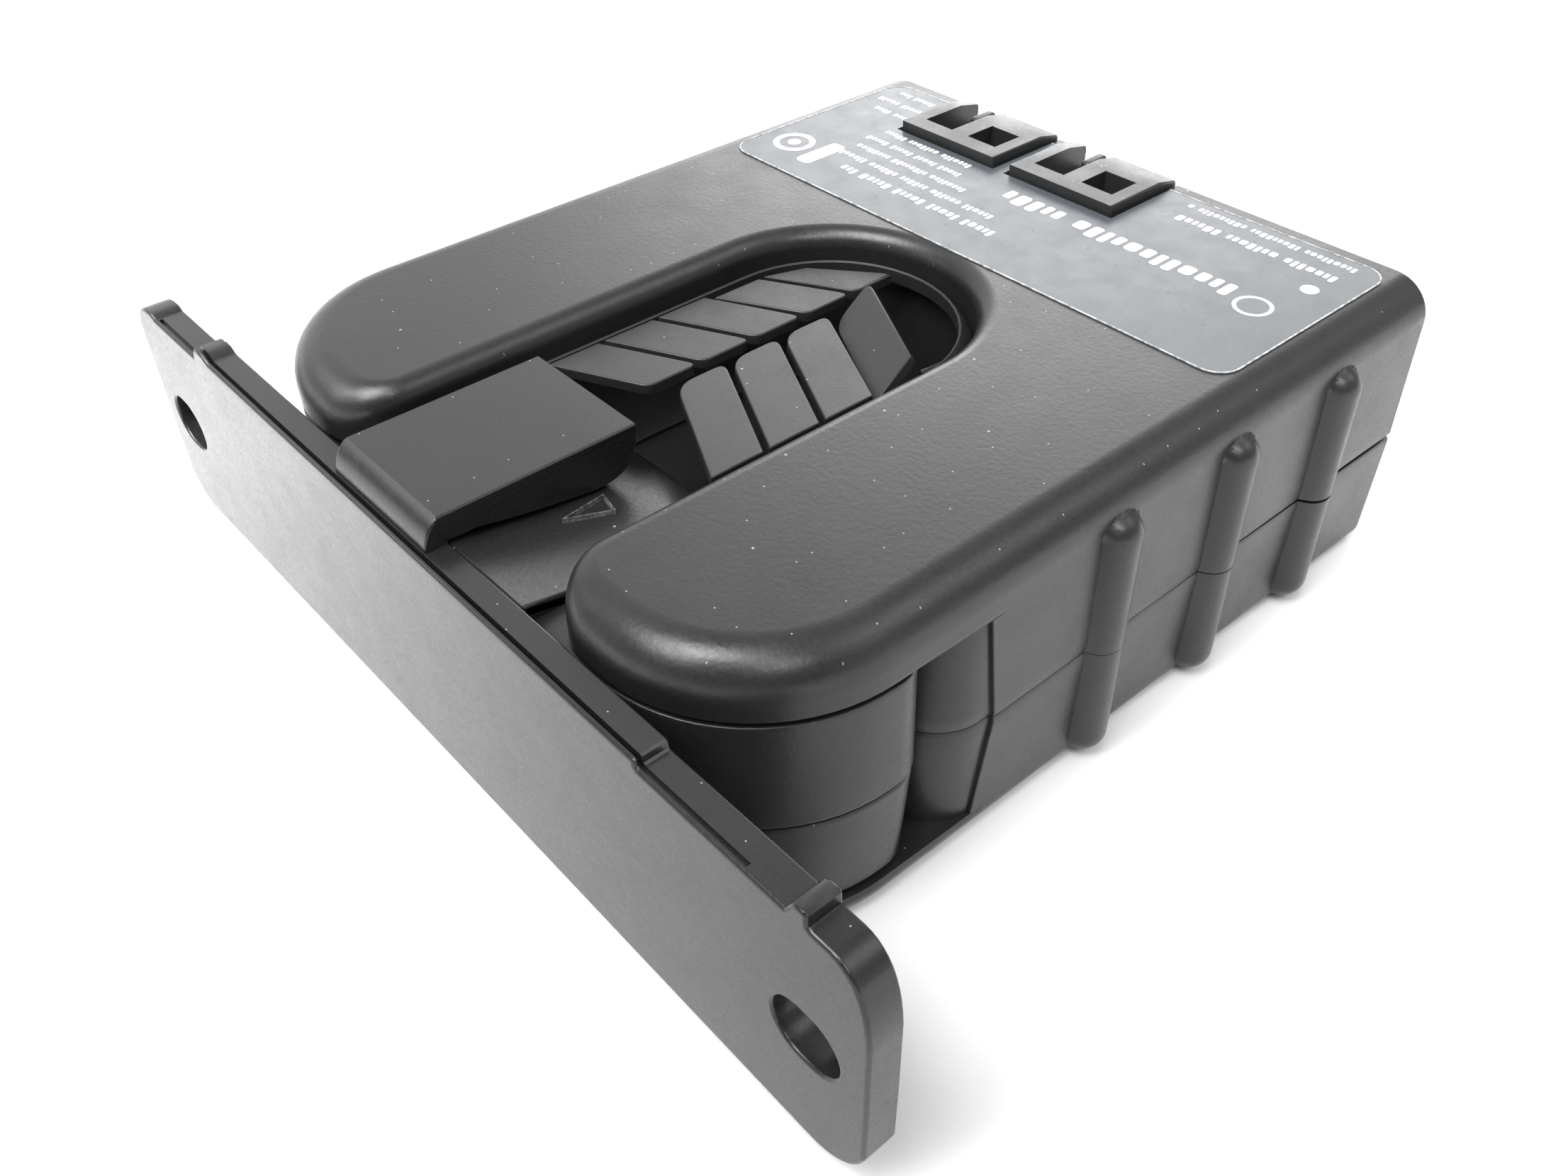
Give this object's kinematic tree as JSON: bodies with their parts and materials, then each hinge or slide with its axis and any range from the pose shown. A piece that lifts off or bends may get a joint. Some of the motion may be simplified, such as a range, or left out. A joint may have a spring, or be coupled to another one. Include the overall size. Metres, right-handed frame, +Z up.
{
  "type": "split-core current sensor",
  "caption": "Split-core current sensor with a slide-out keeper, self-gripping iris window, screw terminals and a clip-on slotted mounting bracket.",
  "frame": {"origin": "middle of the footprint on the surface that the sensor lies on", "axes": "+X along the bracket plate, +Y from the bracket to the terminals, +Z up out of the label face"},
  "size_m": [0.0856, 0.0712, 0.0249],
  "materials": {
    "case_plastic": "charcoal black moulded plastic with a fine spark texture, soft satin sheen",
    "bracket_plastic": "charcoal black moulded plastic, slightly smoother satin face",
    "iris_plastic": "dark grey flexible moulded plastic, satin",
    "label_film": "mid bluish grey printed film, semi-matte",
    "terminal_plastic": "black glass-filled plastic, satin",
    "plated_steel": "zinc plated steel",
    "tinned_brass": "tinned brass strip",
    "core_steel": "silicon steel laminations",
    "bobbin_nylon": "natural nylon",
    "copper_wire": "enamelled copper winding",
    "board_laminate": "green solder mask",
    "relay_case": "blue moulded case",
    "chip_epoxy": "black epoxy package"
  },
  "bodies": {
    "sensor_body": {"top_cover": "case_plastic", "bottom_case": "case_plastic", "label_plate": "label_film", "fixed_core": "core_steel", "coil_bobbin": "bobbin_nylon", "coil_winding": "copper_wire", "circuit_board": "board_laminate", "relay": "relay_case", "controller_chip": "chip_epoxy", "capacitor": "relay_case", "terminal_block_left": "terminal_plastic", "terminal_block_right": "terminal_plastic", "terminal_contact_1": "tinned_brass", "terminal_contact_2": "tinned_brass", "terminal_contact_3": "tinned_brass", "terminal_contact_4": "tinned_brass", "iris_frame": "iris_plastic"},
    "keeper": {"keeper_upper_shell": "case_plastic", "keeper_lower_shell": "case_plastic", "keeper_core": "core_steel"},
    "bracket": {"mounting_bracket": "bracket_plastic"},
    "screw_1": {"terminal_screw_1": "plated_steel"},
    "clamp_1": {"wire_clamp_1": "plated_steel"},
    "screw_2": {"terminal_screw_2": "plated_steel"},
    "clamp_2": {"wire_clamp_2": "plated_steel"},
    "screw_3": {"terminal_screw_3": "plated_steel"},
    "clamp_3": {"wire_clamp_3": "plated_steel"},
    "screw_4": {"terminal_screw_4": "plated_steel"},
    "clamp_4": {"wire_clamp_4": "plated_steel"},
    "finger_left_1": {"iris_finger_left_1": "iris_plastic"},
    "finger_left_2": {"iris_finger_left_2": "iris_plastic"},
    "finger_left_3": {"iris_finger_left_3": "iris_plastic"},
    "finger_left_4": {"iris_finger_left_4": "iris_plastic"},
    "finger_left_5": {"iris_finger_left_5": "iris_plastic"},
    "finger_right_1": {"iris_finger_right_1": "iris_plastic"},
    "finger_right_2": {"iris_finger_right_2": "iris_plastic"},
    "finger_right_3": {"iris_finger_right_3": "iris_plastic"},
    "finger_right_4": {"iris_finger_right_4": "iris_plastic"},
    "finger_right_5": {"iris_finger_right_5": "iris_plastic"}
  },
  "joints": [
    {"name": "keeper_slide", "type": "slide", "parent": "sensor_body", "child": "keeper", "axis": [0, -1, 0], "range_m": [0, 0.026]},
    {"name": "bracket_lift", "type": "slide", "parent": "keeper", "child": "bracket", "axis": [0, 0, 1], "range_m": [0, 0.024]},
    {"name": "screw_1_turn", "type": "hinge", "parent": "sensor_body", "child": "screw_1", "pos_m": [-0.01534, 0.0302, 0.021], "axis": [0, 0, 1], "range_deg": [-720, 0]},
    {"name": "clamp_1_rise", "type": "slide", "parent": "sensor_body", "child": "clamp_1", "axis": [0, 0, 1], "range_m": [0, 0.001]},
    {"name": "screw_2_turn", "type": "hinge", "parent": "sensor_body", "child": "screw_2", "pos_m": [-0.01026, 0.0302, 0.021], "axis": [0, 0, 1], "range_deg": [-720, 0]},
    {"name": "clamp_2_rise", "type": "slide", "parent": "sensor_body", "child": "clamp_2", "axis": [0, 0, 1], "range_m": [0, 0.001]},
    {"name": "screw_3_turn", "type": "hinge", "parent": "sensor_body", "child": "screw_3", "pos_m": [-0.00254, 0.0302, 0.021], "axis": [0, 0, 1], "range_deg": [-720, 0]},
    {"name": "clamp_3_rise", "type": "slide", "parent": "sensor_body", "child": "clamp_3", "axis": [0, 0, 1], "range_m": [0, 0.001]},
    {"name": "screw_4_turn", "type": "hinge", "parent": "sensor_body", "child": "screw_4", "pos_m": [0.00254, 0.0302, 0.021], "axis": [0, 0, 1], "range_deg": [-720, 0]},
    {"name": "clamp_4_rise", "type": "slide", "parent": "sensor_body", "child": "clamp_4", "axis": [0, 0, 1], "range_m": [0, 0.001]},
    {"name": "finger_left_1_flex", "type": "hinge", "parent": "sensor_body", "child": "finger_left_1", "pos_m": [-0.00935, -0.0156, 0.02165], "axis": [0, -1, 0], "range_deg": [-20, 45], "stiffness_Nm_per_rad": 0.01},
    {"name": "finger_left_2_flex", "type": "hinge", "parent": "sensor_body", "child": "finger_left_2", "pos_m": [-0.00935, -0.0106, 0.02165], "axis": [0, -1, 0], "range_deg": [-45, 45], "stiffness_Nm_per_rad": 0.01},
    {"name": "finger_left_3_flex", "type": "hinge", "parent": "sensor_body", "child": "finger_left_3", "pos_m": [-0.00935, -0.0056, 0.02165], "axis": [0, -1, 0], "range_deg": [-45, 45], "stiffness_Nm_per_rad": 0.01},
    {"name": "finger_left_4_flex", "type": "hinge", "parent": "sensor_body", "child": "finger_left_4", "pos_m": [-0.00935, -0.0006, 0.02165], "axis": [0, -1, 0], "range_deg": [-45, 45], "stiffness_Nm_per_rad": 0.01},
    {"name": "finger_left_5_flex", "type": "hinge", "parent": "sensor_body", "child": "finger_left_5", "pos_m": [-0.00935, 0.0044, 0.02165], "axis": [0, -1, 0], "range_deg": [-45, 45], "stiffness_Nm_per_rad": 0.01},
    {"name": "finger_right_1_flex", "type": "hinge", "parent": "sensor_body", "child": "finger_right_1", "pos_m": [0.00935, -0.0156, 0.02165], "axis": [0, 1, 0], "range_deg": [-20, 45], "stiffness_Nm_per_rad": 0.01},
    {"name": "finger_right_2_flex", "type": "hinge", "parent": "sensor_body", "child": "finger_right_2", "pos_m": [0.00935, -0.0106, 0.02165], "axis": [0, 1, 0], "range_deg": [-45, 45], "stiffness_Nm_per_rad": 0.01},
    {"name": "finger_right_3_flex", "type": "hinge", "parent": "sensor_body", "child": "finger_right_3", "pos_m": [0.00935, -0.0056, 0.02165], "axis": [0, 1, 0], "range_deg": [-45, 45], "stiffness_Nm_per_rad": 0.01},
    {"name": "finger_right_4_flex", "type": "hinge", "parent": "sensor_body", "child": "finger_right_4", "pos_m": [0.00935, -0.0006, 0.02165], "axis": [0, 1, 0], "range_deg": [-30, 40], "stiffness_Nm_per_rad": 0.01},
    {"name": "finger_right_5_flex", "type": "hinge", "parent": "sensor_body", "child": "finger_right_5", "pos_m": [0.00935, 0.0044, 0.02165], "axis": [0, 1, 0], "range_deg": [-10, 50], "stiffness_Nm_per_rad": 0.01}
  ],
  "couplings": [
    {"joint": "screw_1_turn", "follows": "clamp_1_rise", "rad_per_m": -12566},
    {"joint": "screw_2_turn", "follows": "clamp_2_rise", "rad_per_m": -12566},
    {"joint": "screw_3_turn", "follows": "clamp_3_rise", "rad_per_m": -12566},
    {"joint": "screw_4_turn", "follows": "clamp_4_rise", "rad_per_m": -12566}
  ]
}
